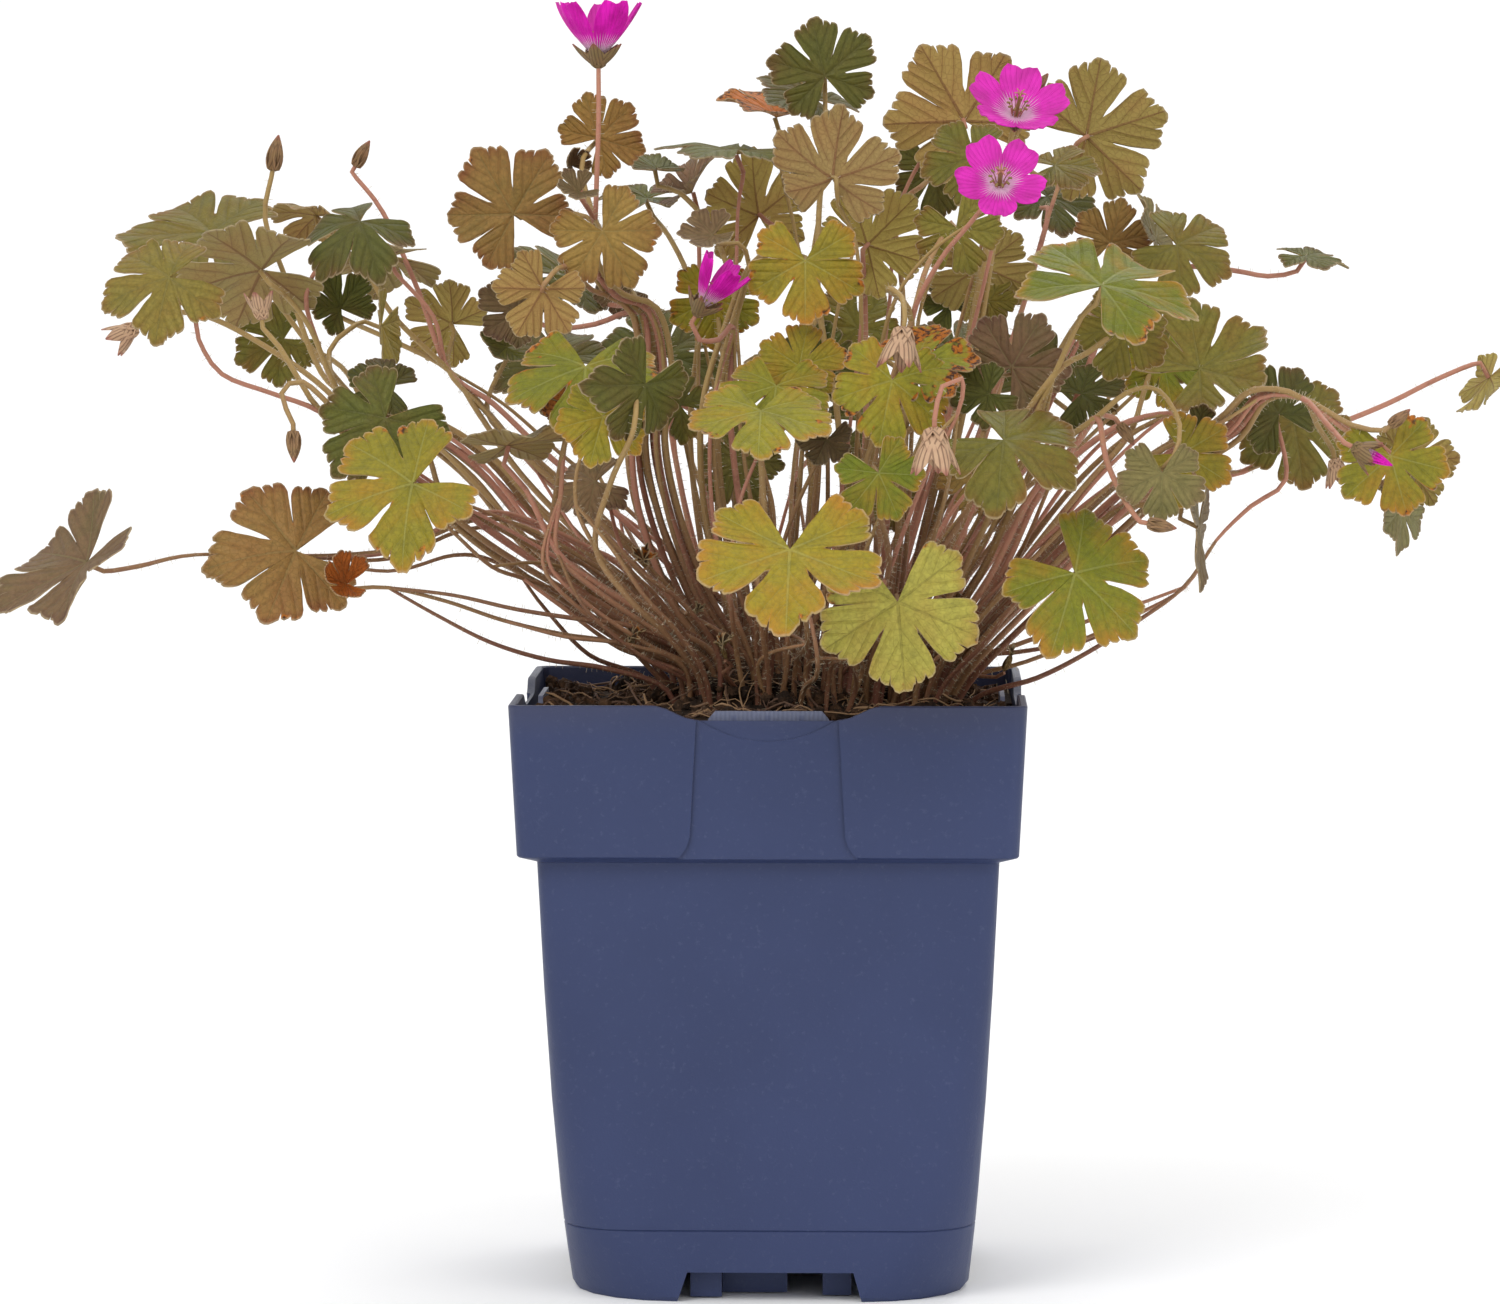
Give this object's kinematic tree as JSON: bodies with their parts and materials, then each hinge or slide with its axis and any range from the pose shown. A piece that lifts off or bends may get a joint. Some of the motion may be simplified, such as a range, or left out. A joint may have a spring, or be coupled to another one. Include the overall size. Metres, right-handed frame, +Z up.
{
  "type": "potted hardy geranium",
  "caption": "Bushy hardy geranium with lobed olive, bronze and green leaves, open magenta blooms and seed heads, growing in a square blue plastic grower's pot with a wide collar",
  "frame": {"origin": "on the standing surface, under the middle of the pot's and the plant's outer box", "axes": "+Z up, +X to the right and +Y away for someone who looks at the side that the picture shows"},
  "size_m": [0.3937, 0.2445, 0.3311],
  "materials": {
    "pot_blue": "satin moulded plastic with a fine grain",
    "soil_brown": "damp crumbly potting soil",
    "petal_magenta": "silky petals",
    "leaf_bronze": "matt living leaf and stem",
    "leaf_gold": "matt living leaf and stem",
    "leaf_olive": "matt living leaf and stem",
    "leaf_dark": "matt living leaf and stem",
    "leaf_grey": "matt living leaf and stem",
    "leaf_green": "matt living leaf and stem",
    "leaf_pale": "matt living leaf and stem"
  },
  "bodies": {
    "root": {"pot": "pot_blue", "soil": "soil_brown", "shoot_far_left": "leaf_bronze", "shoot_low_left": "leaf_gold", "shoot_olive_left": "leaf_gold", "shoot_bundle_left": "leaf_olive", "shoot_high_left": "leaf_dark", "shoot_back_left": "leaf_grey", "shoot_green_left": "leaf_green", "shoot_gold_middle": "leaf_gold", "shoot_purple": "leaf_bronze", "shoot_mid_bloom": "leaf_bronze", "shoot_top_left": "leaf_dark", "shoot_top_pair": "leaf_bronze", "shoot_funnel": "leaf_gold", "shoot_crest": "leaf_dark", "shoot_brown_top": "leaf_bronze", "shoot_back_top": "leaf_bronze", "shoot_bloom_front": "leaf_olive", "shoot_bloom_back": "leaf_olive", "shoot_high_right": "leaf_olive", "shoot_right_upper": "leaf_olive", "shoot_big_green": "leaf_green", "shoot_right": "leaf_olive", "shoot_arched": "leaf_grey", "shoot_outer_right": "leaf_olive", "shoot_trailing_right": "leaf_dark", "shoot_bud_right": "leaf_olive", "shoot_low_right": "leaf_green", "shoot_middle_right": "leaf_olive", "shoot_hooked": "leaf_green", "shoot_front_bronze": "leaf_bronze", "shoot_front_pale": "leaf_pale", "shoot_front_pair": "leaf_gold", "shoot_spotted": "leaf_gold", "shoot_rear_left": "leaf_dark", "shoot_rear_mid_left": "leaf_dark", "shoot_rear_middle": "leaf_olive", "shoot_rear_mid_right": "leaf_dark", "shoot_rear_right": "leaf_olive", "bloom_top": "petal_magenta", "bloom_high": "petal_magenta", "bloom_front": "petal_magenta", "bloom_half_open": "petal_magenta", "bloom_bud": "petal_magenta"}
  },
  "joints": []
}
